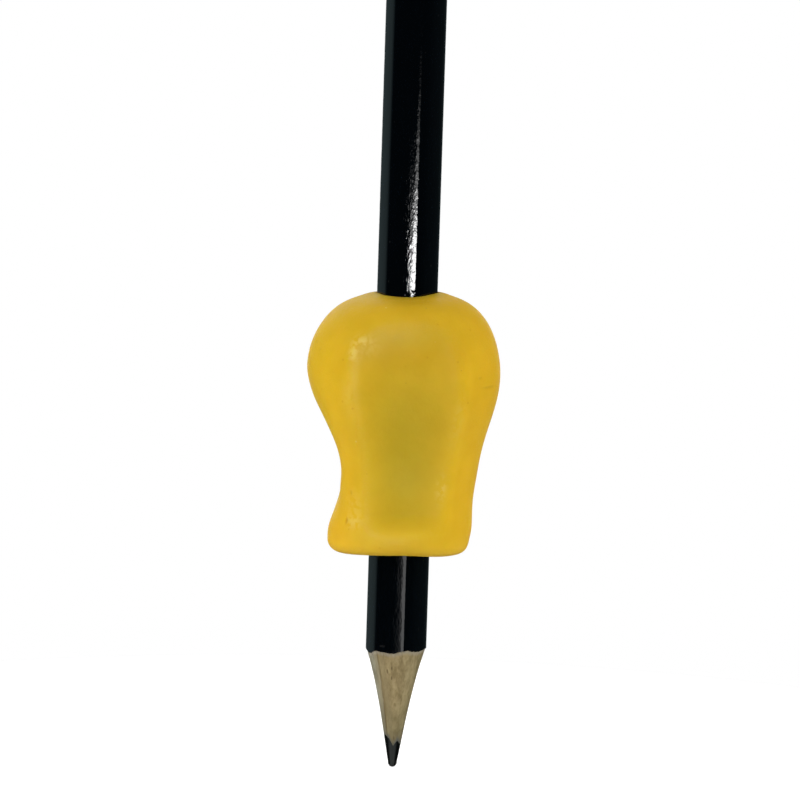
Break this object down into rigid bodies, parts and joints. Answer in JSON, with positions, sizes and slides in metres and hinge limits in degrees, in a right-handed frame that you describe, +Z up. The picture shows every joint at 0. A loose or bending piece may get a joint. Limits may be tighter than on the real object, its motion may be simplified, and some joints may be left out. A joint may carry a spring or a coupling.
{
  "type": "pencil grip",
  "caption": "Bell-shaped soft finger grip with dished pads, pushed onto a sharpened hexagonal wood-cased pencil and sliding along its barrel.",
  "frame": {"origin": "the pencil's writing point, on its axis", "axes": "+Z up the pencil's axis from the point to the plain end; the grip's front pad faces -Y"},
  "size_m": [0.0243, 0.0226, 0.175],
  "materials": {
    "graphite": "fired graphite, dull sheen",
    "casing_wood": "bare sharpened wood",
    "lacquer": "glossy black lacquer",
    "grip_rubber": "satin translucent elastomer"
  },
  "bodies": {
    "pencil": {"graphite_core": "graphite", "casing_slat_front": "casing_wood", "casing_slat_rear": "casing_wood", "lacquer_coat": "lacquer"},
    "grip": {"pencil_grip": "grip_rubber"}
  },
  "joints": [
    {"name": "grip_slide", "type": "slide", "parent": "pencil", "child": "grip", "axis": [0, 0, 1], "range_m": [-0.0117, 0.1146]}
  ]
}
